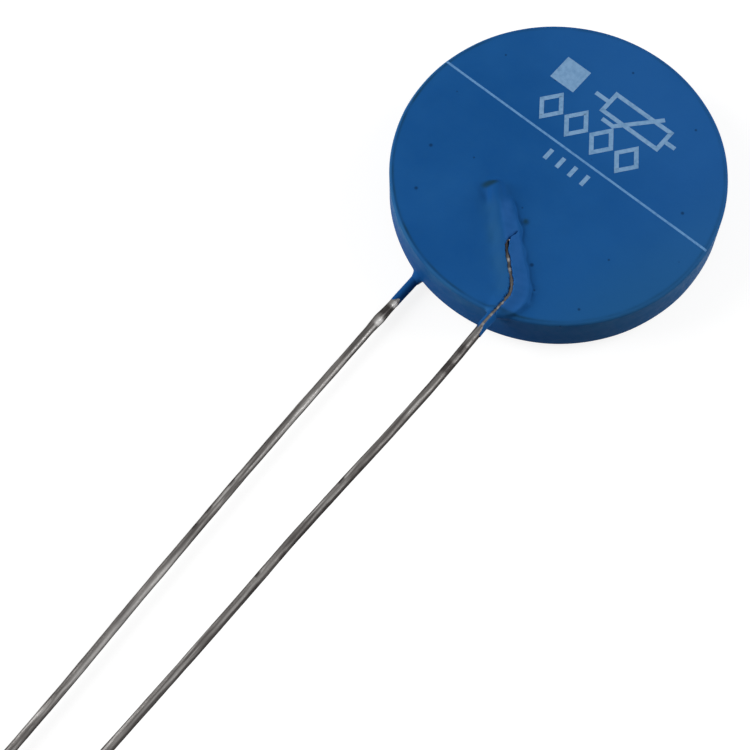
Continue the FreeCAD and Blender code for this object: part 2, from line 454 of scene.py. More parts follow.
@dataclass(frozen=True)
class WireFinish:
    """Dull tinned wire: drawn streaks along it and dark tarnish, with a painted highlight along one side,
    painted highlights in patches, and painted shade along another side.

    Each patch is a distance along the wire in millimetres, half its length, and how strong it is.
    The nicks are small dark patches on one side only, left or right as the camera sees the wire.
    """

    name: str
    seed: float
    painted_highlight: float
    highlight_side: Pair
    shaded_side: Pair
    dark_patches: Patches = ()
    highlight_patches: Patches = ()
    left_nicks: Patches = ()
    right_nicks: Patches = ()
    left_side: Pair = (0.80, -0.60)
    right_side: Pair = (-0.95, -0.30)
    dull: Colour = (0.150, 0.142, 0.136)
    tarnish_and_shade: Colour = (0.040, 0.036, 0.035)
    bright: Colour = (0.50, 0.49, 0.48)
    relief: float = 0.02

    def build(self) -> Material:
        """Builds the nodes.

        Returns:
            The material.
        """
        web = Pattern(self.name, self.dull)
        along = web.math("DIVIDE", web.attribute("along_wire"), MM)
        around = web.attribute("round_wire", "Vector")

        def wrapped(stretch: float, girth: float, shift: float) -> Socket:
            """A place that runs with the wire.

            Args:
                stretch: Its scale along the wire.
                girth: Its scale round the wire.
                shift: Sets one pattern off from the next.

            Returns:
                The place.
            """
            run = web.put("ShaderNodeCombineXYZ", self.seed, shift, web.times(along, stretch))
            ring = web.put("ShaderNodeVectorMath", around, operation="SCALE", Scale=girth)
            return web.put("ShaderNodeVectorMath", ring.outputs[0], run.outputs[0]).outputs[0]

        def patches(spots: Patches) -> Value:
            """The strength of patches together.

            Args:
                spots: The patches.

            Returns:
                Their sum, which is 0 where there are none.
            """
            offs = [web.math("ABSOLUTE", web.math("SUBTRACT", along, centre)) for centre, _, _ in spots]
            each = [web.ramp(off, half / 2.0, half, most, 0.0) for off, (_, half, most) in zip(offs, spots)]
            return reduce(web.plus, each, 0.0)

        def facing(way: Pair) -> Socket:
            """How far round the wire a point lies from a side: 1 on that side and -1 opposite."""
            node = web.put("ShaderNodeVectorMath", around, (*way, 0.0), operation="DOT_PRODUCT")
            return node.outputs["Value"]

        fine = web.noise(wrapped(0.9, 3.2, 4.0), 1.0, 3.0)
        patch = web.noise(wrapped(0.42, 0.55, 9.0), 1.0)
        grain = web.noise(wrapped(5.0, 4.0, 2.0), 1.0)
        wave = web.noise(wrapped(0.30, 1.15, 0.0), 1.0, 3.0)
        wave = web.plus(wave, web.times(web.math("SUBTRACT", fine, 0.5), 0.35))
        web.tint(web.ramp(wave, 0.47, 0.62, 0.0, 0.65), self.tarnish_and_shade)
        web.tint(web.ramp(patch, 0.55, 0.66, 0.0, 0.4), self.tarnish_and_shade)
        web.tint(web.ramp(wave, 0.42, 0.34, 0.0, 0.35), self.bright)
        # Painted highlight: a bright streak along one side of the wire, broken into patches.
        painted_highlight = web.ramp(facing(self.highlight_side), 0.94, 0.99, 0.0, self.painted_highlight)
        web.tint(web.times(painted_highlight, web.ramp(patch, 0.62, 0.42, 0.1, 1.0)), self.bright)
        # Painted shade along the wire's shaded side.
        web.tint(web.ramp(facing(self.shaded_side), 0.80, 0.94, 0.0, 0.8), self.tarnish_and_shade)
        web.tint(web.times(patches(self.dark_patches), web.ramp(fine, 0.3, 0.5, 0.6, 1.0)), self.tarnish_and_shade)
        for nicks, side in ((self.left_nicks, self.left_side), (self.right_nicks, self.right_side)):
            web.tint(web.times(patches(nicks), web.ramp(facing(side), 0.55, 0.92)), self.tarnish_and_shade)
        # Painted highlights: bright patches on the highlight side.
        lit = web.ramp(facing(self.highlight_side), 0.7, 0.97, 0.1, 1.0)
        web.tint(web.times(patches(self.highlight_patches), lit), self.bright)
        web.bump(web.plus(wave, web.times(grain, 0.5)), self.relief)
        rough = web.ramp(patch, 0.35, 0.65, 0.32, 0.5)
        return web.finish(Metallic=1.0, Roughness=rough, Specular_Tint=(0.35, 0.35, 0.35))


@dataclass(frozen=True)
class InnerFinish:
    """A finish for what the lacquer hides: a base colour with a grain of its own."""

    name: str
    base: Colour
    shade: Colour
    grain_scale: float
    metallic: float
    roughness: Pair
    relief: float

    def build(self) -> Material:
        """Builds the nodes.

        Returns:
            The material.
        """
        web = Pattern(self.name, self.base)
        plain = web.plain()
        grain = web.noise(plain, self.grain_scale, 5.0)
        web.tint(web.ramp(grain, 0.35, 0.65), self.shade)
        web.bump(web.plus(grain, web.times(web.noise(plain, 0.4), 0.5)), self.relief)
        return web.finish(Metallic=self.metallic, Roughness=web.ramp(grain, 0.3, 0.7, *self.roughness))


@dataclass(frozen=True)
class InkFinish:
    """Pale printing ink that lets the lacquer show through where it is thin."""

    name: str
    ink: Colour
    thin: Colour
    relief: float = 0.006

    def build(self) -> Material:
        """Builds the nodes.

        Returns:
            The material.
        """
        web = Pattern(self.name, self.ink)
        plain = web.plain()
        mottle = web.noise(plain, 5.0, 4.0)
        wear_and_sheen = web.ramp(web.noise(plain, 0.8), 0.3, 0.7, 0.55, 1.0)
        web.tint(web.times(web.ramp(mottle, 0.40, 0.72), wear_and_sheen), self.thin)
        web.bump(mottle, self.relief)
        return web.finish(Roughness=0.62, Specular_IOR_Level=0.2)


# The leads


class Lead(Enum):
    """Which lead a wire is, by the name of the solid that it stands for."""

    FRONT = "front_lead"
    REAR = "rear_lead"


@dataclass
class WireLead:
    """A round wire, soldered slantwise on a face and run straight away from the disc.

    The sway pairs levels down the lead with how far it stands off to the side there.
    """

    which: Lead
    corners: list[Pair]
    bends: list[float]
    level: float
    sway: list[Pair]
    seed: int
    radius: float = 0.231
    unevenness: float = 0.036
    noise_scale: float = 0.9
    lump_at: float = 0.0
    lump_height: float = 0.0
    lump_length: float = 0.5
    sway_step: float = 0.5
    step: float = 0.09
    sides: int = 20

    def centre_line(self) -> Points:
        """The wire's centre line in plan, which sways a little where the lead hangs free.

        Returns:
            Rows of x and y.
        """
        bent = rounded_route(self.corners, self.bends, self.step)
        run = np.linspace(bent[-2], bent[-1], int(np.hypot(*(bent[-1] - bent[-2])) / self.sway_step))
        line = np.vstack([bent[:-2], run])
        levels, offsets = np.array(self.sway).T
        line[:, 0] += np.interp(-line[:, 1], -levels, offsets)
        return line

    def sizes(self) -> dict[str, float]:
        """The sweep's inputs by name, with its lengths in metres.

        Returns:
            The values.
        """
        lengths = {
            "Wire Radius": self.radius, "Unevenness": self.unevenness, "Ring Spacing": self.step,
            "Lump Centre": self.lump_at, "Lump Height": self.lump_height, "Lump Length": self.lump_length,
        }
        metres = {name: length * MM for name, length in lengths.items()}
        return metres | {"Sides": self.sides, "Seed": self.seed}

    def _tree(self, material: Material) -> bpy.types.NodeTree:
        """A node group that sweeps an uneven round section along a line of edges.

        Args:
            material: Finish of the swept wire.

        Returns:
            The node group, with its sizes as named inputs.
        """
        tree = bpy.data.node_groups.new(f"{self.which.value}_sweep", "GeometryNodeTree")
        kinds = {"Route": "Geometry", "Sides": "Int", "Seed": "Int"}
        for name in ("Route", *self.sizes()):
            kind = kinds.get(name, "Float")
            tree.interface.new_socket(name, in_out="INPUT", socket_type=f"NodeSocket{kind}")
        tree.interface.new_socket("Wire", in_out="OUTPUT", socket_type="NodeSocketGeometry")
        web = NodeWeb(tree)
        given = web.put("NodeGroupInput").outputs
        line = web.put("GeometryNodeMeshToCurve", given["Route"]).outputs[0]
        rings = web.put("GeometryNodeResampleCurve", mode="LENGTH", Curve=line, Length=given["Ring Spacing"])
        noise = web.put("ShaderNodeTexNoise", noise_dimensions="4D", W=given["Seed"],
                        Scale=self.noise_scale / MM, Detail=3.0)
        uneven = web.times(web.math("SUBTRACT", noise.outputs["Fac"], 0.5), given["Unevenness"])
        reach = web.put("GeometryNodeSplineParameter").outputs["Length"]
        off = web.math("DIVIDE", web.math("SUBTRACT", reach, given["Lump Centre"]), given["Lump Length"])
        fall = web.math("EXPONENT", web.times(web.times(off, off), -1.0))
        lump = web.times(given["Lump Height"], fall)
        radius = web.plus(given["Wire Radius"], web.plus(uneven, lump))
        section = web.put("GeometryNodeCurvePrimitiveCircle", Resolution=given["Sides"], Radius=1.0)

        def kept(curve: Socket, kind: str, name: str, value: Socket) -> Socket:
            """Stores a value on a curve's points under a name that the finish reads."""
            inputs = {"Geometry": curve, "Name": name, "Value": value}
            return web.put("GeometryNodeStoreNamedAttribute", data_type=kind, **inputs).outputs[0]

        path = kept(rings.outputs[0], "FLOAT", "along_wire", reach)
        place = web.put("GeometryNodeInputPosition").outputs[0]
        outline = kept(section.outputs["Curve"], "FLOAT_VECTOR", "round_wire", place)
        sweep = web.put("GeometryNodeCurveToMesh", path, Profile_Curve=outline, Scale=radius, Fill_Caps=True)
        real = web.put("GeometryNodeRealizeInstances", sweep.outputs[0])
        finish = web.put("GeometryNodeSetMaterial", real.outputs[0], Material=material)
        web.put("NodeGroupOutput", finish.outputs[0])
        return tree

    def build(self, material: Material) -> Piece:
        """Sweeps the wire, keeps it as a plain mesh and hands it over in place of its solid.

        Args:
            material: Finish of the wire.

        Returns:
            The finished piece.
        """
        plan = self.centre_line()
        points = np.column_stack([plan, np.full(len(plan), self.level)]) * MM
        route = bpy.data.meshes.new(f"{self.which.value}_route")
        route.from_pydata(points.tolist(), [(i, i + 1) for i in range(len(points) - 1)], [])
        piece = bpy.data.objects.new(f"{self.which.value}_wire", route)
        bpy.context.scene.collection.objects.link(piece)
        modifier = piece.modifiers.new("shape", "NODES")
        tree = modifier.node_group = self._tree(material)
        sockets = {item.name: item.identifier for item in tree.interface.items_tree}
        for name, value in self.sizes().items():
            modifier[sockets[name]] = value
        bpy.context.view_layer.update()
        evaluated = piece.evaluated_get(bpy.context.evaluated_depsgraph_get())
        mesh = bpy.data.meshes.new_from_object(evaluated)
        piece.modifiers.remove(modifier)
        piece.data = mesh
        mesh.name = piece.name
        bpy.data.meshes.remove(route)
        for face in mesh.polygons:
            face.use_smooth = len(face.vertices) == 4
        hand_over(piece, "tinned_wire", self.which.value)
        return piece


# The lacquer


@dataclass
class Sleeve:
    """Thin lacquer on a lead: where it starts along the wire, its length and film, and what it leaves.

    It leaves bare the side that it names, as far as an angle to each side; below 0 it leaves nothing.
    The lean is the share of its length by which it reaches further on the wire's left hand.
    """

    lead: WireLead
    start: float
    length: float
    film: float
    bare_side: Triple
    bare_deg: float
    lean: float
    seed: int
    root: float = 0.03
    ring_spacing: float = 0.05
    sides: int = 40

    def build(self) -> Shell:
        """A closed tube round the wire, which ends in a ragged edge.

        Returns:
            Its points and faces.
        """
        route = self.lead.centre_line()
        stations = stations_of(route)
        rings = int(self.length / self.ring_spacing)
        along = np.linspace(self.start, self.start + self.length, rings)
        centres = np.column_stack([np.interp(along, stations, route[:, k]) for k in (0, 1)])
        lefts = left_of(unit(np.gradient(centres, axis=0)))
        turns = np.linspace(0.0, 2.0 * math.pi, self.sides, endpoint=False)
        bare_side = np.array(self.bare_side) / np.linalg.norm(self.bare_side)
        points = []
        for station, (x, y), across in zip(along, centres, lefts):
            left = np.array([*across, 0.0])
            circle = np.outer(np.cos(turns), left) + np.outer(np.sin(turns), UP)
            centre = np.array([x, y, self.lead.level])
            share = (station - self.start) / self.length
            ragged = 0.10 * ripples(circle * 0.8 + self.seed, 1.3, self.seed)
            end = 0.84 + ragged + self.lean * (circle @ left)
            there = 1.0 - ease(share - end, -0.04, 0.04)
            away = np.degrees(np.arccos(np.clip(circle @ bare_side, -1.0, 1.0)))
            there = there * ease(away - self.bare_deg, -6.0, 6.0)
            uneven = np.clip(1.0 + 0.3 * ripples(circle * 0.3 + centre, 0.7, self.seed + 1), 0.6, 1.4)
            film = self.film * (1.0 - 0.6 * share) * uneven
            reach = self.lead.radius - self.root + (film + self.root) * there
            points.append(centre + circle * reach[:, None])
        last = rings * self.sides - 1
        ends = [tuple(range(self.sides)), tuple(range(last, last - self.sides, -1))]
        return np.vstack(points), ends + bands(rings, self.sides)


@dataclass
class LacquerCoat:
    """The dipped coat as one skin: the disc, the mounds over both wires and the collars on the leads.

    The pool's reach pairs a distance along the front wire with how far the pool reaches beside it there.
    The bared line runs down the middle of the bare strip and has half a width for each of its points.
    A lump is its x, y and z, how wide it is and how high.
    """

    front: WireLead
    rear: WireLead
    radius: float = 8.55
    thickness: float = 2.5
    edge_round: float = 0.18
    film: float = 0.152
    tip_lap: float = 0.30
    rim_thinning: float = 0.07
    collar_thinning: float = 0.28
    collar_reach: float = 4.0
    fillet: float = 0.40
    lip: float = 0.04
    waviness: float = 0.006
    mound_waviness: float = 0.017
    pool_height: float = 0.19
    pool_side: float = 0.16
    pool_waviness: float = 0.05
    pool_reach: tuple[Pair, ...] = (
        (0.0, 0.60), (0.65, 0.75), (1.65, 0.84), (2.9, 0.86), (3.8, 0.88), (4.7, 0.92), (5.5, 0.90),
        (5.9, 0.91), (6.3, 0.86), (6.8, 0.52), (7.3, 0.30),
    )
    shoulder_height: float = 0.13
    shoulder_width: float = 0.50
    shoulder_off: float = 0.40
    crack_depth: float = 0.10
    bared_height: float = 0.45
    bared_waviness: float = 0.018
    bared_line: tuple[Pair, ...] = (
        (0.66, -4.09), (0.63, -4.28), (0.60, -4.50), (0.61, -4.70), (0.72, -4.98), (1.00, -5.31),
        (1.34, -5.61), (1.70, -5.95), (2.05, -6.27), (2.36, -6.60), (2.54, -6.98), (2.58, -7.39),
        (2.59, -7.80), (2.60, -8.30), (2.60, -9.60),
    )
    bared_half_widths: tuple[float, ...] = (
        0.03, 0.04, 0.05, 0.06, 0.08, 0.09, 0.10, 0.10, 0.09, 0.10, 0.10, 0.09, 0.08, 0.08, 0.08,
    )
    lumps: tuple[tuple[float, ...], ...] = (
        (0.58, -3.31, 2.50, 0.13, 0.11), (3.35, -6.10, 2.55, 0.12, 0.06), (3.50, -6.75, 2.55, 0.16, 0.07),
        (3.30, -7.35, 2.55, 0.14, 0.06), (3.10, -7.70, 2.50, 0.12, 0.05), (7.61, -4.65, 0.70, 0.10, 0.06),
        (-4.81, -5.43, 2.50, 0.10, 0.03), (5.90, -4.10, 2.50, 0.12, 0.025), (-6.60, 1.90, 2.50, 0.10, 0.02),
    )
    tip_stain: Pair = (-2.10, -2.88)
    tip_stain_way: Pair = (0.69, 0.73)
    tip_stain_size: Pair = (0.40, 0.22)
    crack_stain: Pair = (0.60, -3.34)
    # The face turns greyer towards one side and lighter towards another; the rim's painted shade and sheen
    # follow the lit side and the far side.
    greyer_side: Pair = (0.98, -0.20)
    lighter_side: Pair = (0.45, 0.89)
    lit_side: Pair = (-0.755, -0.656)
    far_side: Pair = (0.95, -0.31)
    hub_step: float = 0.35
    hub_rings: int = 7
    front_rings: int = 116
    rear_rings: int = 38
    wall_rings: int = 24
    front_edge_rings: int = 20
    rear_edge_rings: int = 16
    dense_from_deg: float = -131.0
    dense_to_deg: float = -49.0
    dense_step: float = 0.065
    coarse_step_deg: float = 2.0
    reach: float = 1.5
    deepest: float = -0.4
    settle_rounds: int = 70
    settle_share: float = 0.75
    settled: float = 2e-5

    def disc(self, points: Points) -> Points:
        """Distances to the plain coated disc.

        Args:
            points: Where to evaluate them.

        Returns:
            One distance for each point.
        """
        side = plan_length(points) - (self.radius - self.edge_round)
        half = self.thickness / 2.0
        rise = np.abs(points[:, 2] - half) - (half - self.edge_round)
        outside = np.hypot(np.maximum(side, 0.0), np.maximum(rise, 0.0))
        return outside + np.minimum(np.maximum(side, rise), 0.0) - self.edge_round

    def wire_cover(self, points: Points, lead: WireLead) -> Points:
        """Distances to the lacquer round one wire, from past its tip to where it ends beyond the rim.

        Args:
            points: Where to evaluate them.
            lead: The wire.

        Returns:
            One distance for each point.
        """
        line = lead.centre_line()
        onward = (line[1] - line[0]) / np.linalg.norm(line[1] - line[0])
        under = line[line[:, 1] > -self.radius - self.collar_reach]
        covered = np.vstack([line[0] - onward * self.tip_lap, under])
        distance, _, _ = nearest_on_path(points[:, :2], covered)
        past_rim = plan_length(points) - self.radius
        swell = lead.radius + self.film - self.rim_thinning * ease(past_rim, -1.2, -0.1)
        swell = swell - self.collar_thinning * ease(past_rim, 0.05, 0.75)
        return np.hypot(distance, points[:, 2] - lead.level) - swell

    def by_wire(self, points: Points) -> tuple[Points, Points]:
        """Where points lie by the front wire: how far along it, and how far to its left."""
        distance, along, side = nearest_on_path(points[:, :2], self.front.centre_line())
        return along, distance * side

    def swelling(self, points: Points) -> Points:
        """How far the front face rises by the wire: a flat pool on its outer side, a soft slope inside.

        Args:
            points: Where to evaluate it.

        Returns:
            One height for each point.
        """
        along, across = self.by_wire(points)
        reach = np.interp(along, *np.array(self.pool_reach).T)
        wavy = self.pool_waviness * ripples(points * IN_PLAN, 0.9, 11)
        reach = reach + wavy * ease(along, 0.4, 1.2)
        pool = self.pool_height * ease(reach - across, -self.pool_side / 2.0, self.pool_side / 2.0)
        pool = pool * ease(across, -0.25, 0.15) * span(along, (0.0, 0.7), (6.5, 7.3))
        shoulder = self.shoulder_height * bell(across + self.shoulder_off, self.shoulder_width)
        shoulder = shoulder * ease(-across, -0.2, 0.3) * span(along, (0.2, 1.6), (6.2, 7.2))
        return (pool + shoulder) * ease(points[:, 2], self.thickness - 0.5, self.thickness - 0.1)

    def bared(self, points: Points, cover: Points) -> Points:
        """Distances to the channel in which the front wire lies bare, which starts as a shallow crack.

        Args:
            points: Where to evaluate them.
            cover: Distances to the coat that is cut there.

        Returns:
            Distances to what the channel takes away.
        """
        line = np.array(self.bared_line)
        distance, along, _ = nearest_on_path(points[:, :2], line)
        half_width = np.interp(along, stations_of(line), self.bared_half_widths)
        half_width = half_width + self.bared_waviness * ripples(points * IN_PLAN, 0.45, 5)
        floor = (self.front.level + self.front.radius * self.bared_height) - points[:, 2]
        deep = ease(along, 0.35, 0.80)
        return np.maximum(distance - half_width, floor * deep - (self.crack_depth + cover) * (1.0 - deep))

    def form(self, points: Points) -> Points:
        """Distances to the whole coat.

        Args:
            points: Where to evaluate them.

        Returns:
            One distance for each point.
        """
        front_cover = self.wire_cover(points, self.front)
        cover = smooth_union(self.disc(points) - self.swelling(points), front_cover, self.fillet)
        cover = smooth_union(cover, self.wire_cover(points, self.rear), self.fillet / 2.0)
        cover = cover + self.waviness * ripples(points, 3.5, 2)
        near_mound = ease(-np.abs(front_cover), -0.9, -0.2)
        cover = cover + self.mound_waviness * near_mound * ripples(points, 0.8, 8)
        for x, y, z, width, height in self.lumps:
            cover = cover - height * bell(np.linalg.norm(points - (x, y, z), axis=1), width)
        return smooth_cut(cover, self.bared(points, cover), self.lip)

    def outline(self) -> Points:
        """The disc's half outline from the front centre round to the rear centre.

        Returns:
            Rows of radius, level, and the outward direction's two shares.
        """
        size, flat = self.edge_round, self.radius - self.edge_round
        front, rear = self.thickness - size, size
        rows = [(r, front, 90.0) for r in self._radii(self.front_rings)]
        rows += [(flat, front, turn) for turn in np.linspace(90.0, 0.0, self.front_edge_rings)]
        rows += [(flat, z, 0.0) for z in np.linspace(front, rear, self.wall_rings)[1:-1]]
        rows += [(flat, rear, turn) for turn in np.linspace(0.0, -90.0, self.rear_edge_rings)]
        rows += [(r, rear, -90.0) for r in self._radii(self.rear_rings)[::-1]]
        centre, level, turn = np.array(rows).T
        out, up = np.cos(np.radians(turn)), np.sin(np.radians(turn))
        return np.column_stack([centre + size * out, level + size * up, out, up])

    def _radii(self, count: int) -> Points:
        """Radii of a flat face's rings, wide apart at the hub and close together outside it."""
        outer = np.linspace(self.hub_step * self.hub_rings, self.radius - self.edge_round, count)[:-1]
        return np.concatenate([self.hub_step * np.arange(1, self.hub_rings), outer])

    def base_grid(self) -> tuple[Points, Points, Faces]:
        """The plain disc as a grid of rings, with its points close together where the mounds are.

        Returns:
            Points, unit directions outwards, and faces.
        """
        rows = self.outline()
        fine = math.degrees(self.dense_step / self.radius)
        dense = np.arange(self.dense_from_deg, self.dense_to_deg, fine)
        coarse = np.arange(self.dense_to_deg, self.dense_from_deg + 360.0, self.coarse_step_deg)
        turns = np.radians(np.concatenate([dense, coarse]))
        cos, sin, count = np.cos(turns), np.sin(turns), len(turns)
        points = [np.column_stack([r * cos, r * sin, np.full(count, z)]) for r, z, _, _ in rows]
        ways = [np.column_stack([out * cos, out * sin, np.full(count, up)]) for _, _, out, up in rows]
        points = np.vstack([*points, UP * self.thickness, np.zeros(3)])
        ways = np.vstack([*ways, UP, -UP])
        front, rear, last = len(points) - 2, len(points) - 1, (len(rows) - 1) * count
        faces = []
        for k in range(count):
            n = (k + 1) % count
            faces += [(front, k, n), (rear, last + n, last + k)]
        return points, ways, faces + bands(len(rows), count)

    def settle(self, points: Points, ways: Points) -> Points:
        """Moves each point along its direction onto the coat, coming from outside.

        Args:
            points: Points on the plain disc.
            ways: Unit outward directions.

        Returns:
            The moved points.
        """
        travel = np.full(len(points), self.reach)
        moving = np.arange(len(points))
        for _ in range(self.settle_rounds):
            gap = self.form(points[moving] + ways[moving] * travel[moving, None])
            travel[moving] = np.maximum(travel[moving] - gap * self.settle_share, self.deepest)
            moving = moving[(np.abs(gap) > self.settled) & (travel[moving] > self.deepest)]
            if len(moving) == 0:
                break
        return points + ways * travel[:, None]

    def past_edge(self, points: Points) -> Points:
        """How far each point lies beyond the flat front face, measured down over the edge.

        Args:
            points: Points of the finished skin.

        Returns:
            One distance for each point, below 0 on the face.
        """
        out = plan_length(points) - (self.radius - self.edge_round)
        up = points[:, 2] - (self.thickness - self.edge_round)
        turned = np.arctan2(np.maximum(out, 0.0), np.maximum(up, 1e-6)) * (out > 0.0)
        return np.minimum(out, 0.0) + turned * self.edge_round + np.maximum(-up, 0.0)

    def rim_tints(self, points: Points) -> tuple[Points, Points]:
        """The dark line along the front edge, partly painted shade, and the paler band below it, mostly a
        painted sheen.

        Args:
            points: Points of the finished skin.

        Returns:
            How dark the line is and how strong the band is at each point.
        """
        out, down = plan_length(points), self.past_edge(points)
        past_wire = ease(points[:, 0], 2.5, 3.2) * ease(-points[:, 1], 4.0, 6.0)
        lit = ease(towards(points, self.lit_side) / np.maximum(out, 1.0), 0.0, 0.7)
        lit = lit * (1.0 - 0.85 * past_wire)
        far = ease(towards(points, self.far_side) / np.maximum(out, 1.0), 0.55, 0.95)
        uneven = 0.8 + 0.35 * ripples(points, 1.4, 35)
        # Painted shade: the dark line of thin lacquer along the edge is made darker on the lit side, and
        # past the wire a painted shadow lies under the edge.
        line = bell(down + 0.01, 0.06) * (0.35 + 0.35 * lit) * uneven
        line = line + 0.45 * bell(down - 0.03, 0.10) * past_wire * (1.0 - far)
        # The paler band below the edge is faint all round, and a painted sheen on the lit side and the far
        # side.
        wear_and_sheen = span(down, (0.03, 0.12), (0.40, 1.60)) * (0.12 + 0.95 * lit + 0.45 * far) * uneven
        return line, wear_and_sheen * (1.0 - ease(out, self.radius + 0.02, self.radius + 0.15))

    def tints(self, points: Points) -> dict[str, Points]:
        """How strong each tint is at each point: stains with painted shade, haze, a painted highlight with a
        lighter tone, and a pale band that is mostly painted sheen.

        Args:
            points: Points of the finished skin.

        Returns:
            Shares between 0 and 1, by attribute name.
        """
        along, across = self.by_wire(points)
        on_front = ease(points[:, 2], self.thickness - 0.2, self.thickness)
        off = points[:, :2] - self.tip_stain
        (x, y), (length, width) = self.tip_stain_way, self.tip_stain_size
        tip = np.hypot(towards(off, (x, y)) / length, towards(off, (y, -x)) / width)
        stain_and_shade = 0.95 * ease(-tip, -1.5, -0.4)
        stain_and_shade = stain_and_shade + 0.95 * bell(plan_length(points[:, :2] - self.crack_stain), 0.16)
        grey = bell(across + 0.42, 0.42) * span(along, (0.0, 1.0), (5.2, 6.6))
        haze = grey * (0.8 + 0.25 * ripples(points, 0.9, 21)) * on_front
        # Greyer towards one side of the face.
        haze = haze + 0.95 * ease(towards(points, self.greyer_side), 4.0, 9.0)
        # Painted highlight: a lighter band over the pool's flat top.
        reach = np.interp(along, *np.array(self.pool_reach).T)
        band = ease(across, -0.1, 0.1) * ease(reach - across, 0.0, 0.2)
        clear = band * span(along, (0.2, 0.8), (6.4, 7.0)) * (0.75 + 0.25 * ripples(points, 0.7, 27))
        # Lighter towards one side of the face.
        clear = clear + 0.42 * ease(towards(points, self.lighter_side), -1.0, 7.5) * (1.0 - band)
        line, wear_and_sheen = self.rim_tints(points)
        shares = {"stain_and_shade": stain_and_shade * on_front + line, "haze": haze, "clear": clear * on_front, "wear_and_sheen": wear_and_sheen}
        return {name: np.clip(share, 0.0, 1.0) for name, share in shares.items()}

    def build(self, material: Material, sleeves: tuple[Sleeve, ...]) -> Piece:
        """Makes the coat and hands it over in place of its solid.

        Args:
            material: The lacquer.
            sleeves: What runs on past the rim along the wires.

        Returns:
            The finished piece.
        """
        base, ways, faces = self.base_grid()
        tubes = [sleeve.build() for sleeve in sleeves]
        points, faces = joined([(self.settle(base, ways), faces), *tubes])
        piece = mesh_object("lacquer_skin", points, faces)
        for name, values in self.tints(points).items():
            layer = piece.data.attributes.new(name, "FLOAT", "POINT")
            layer.data.foreach_set("value", values.astype(np.float32))
        piece.data.materials.append(material)
        hand_over(piece, "lacquer", "lacquer_coat")
        return piece

    def level_at(self, plan: Points) -> Points:
        """The front surface's level at points in plan, with its waves and its rounded edge."""
        start = np.column_stack([plan, np.full(len(plan), self.thickness)])
        return self.settle(start, np.tile(UP, (len(plan), 1)))[:, 2]


# The marking


class Mark(Enum):
    """Plain marks that stand where the print is: closed outlines, open strokes and solid fields."""

    OUTLINE = "outline"
    STROKE = "stroke"
    FIELD = "field"


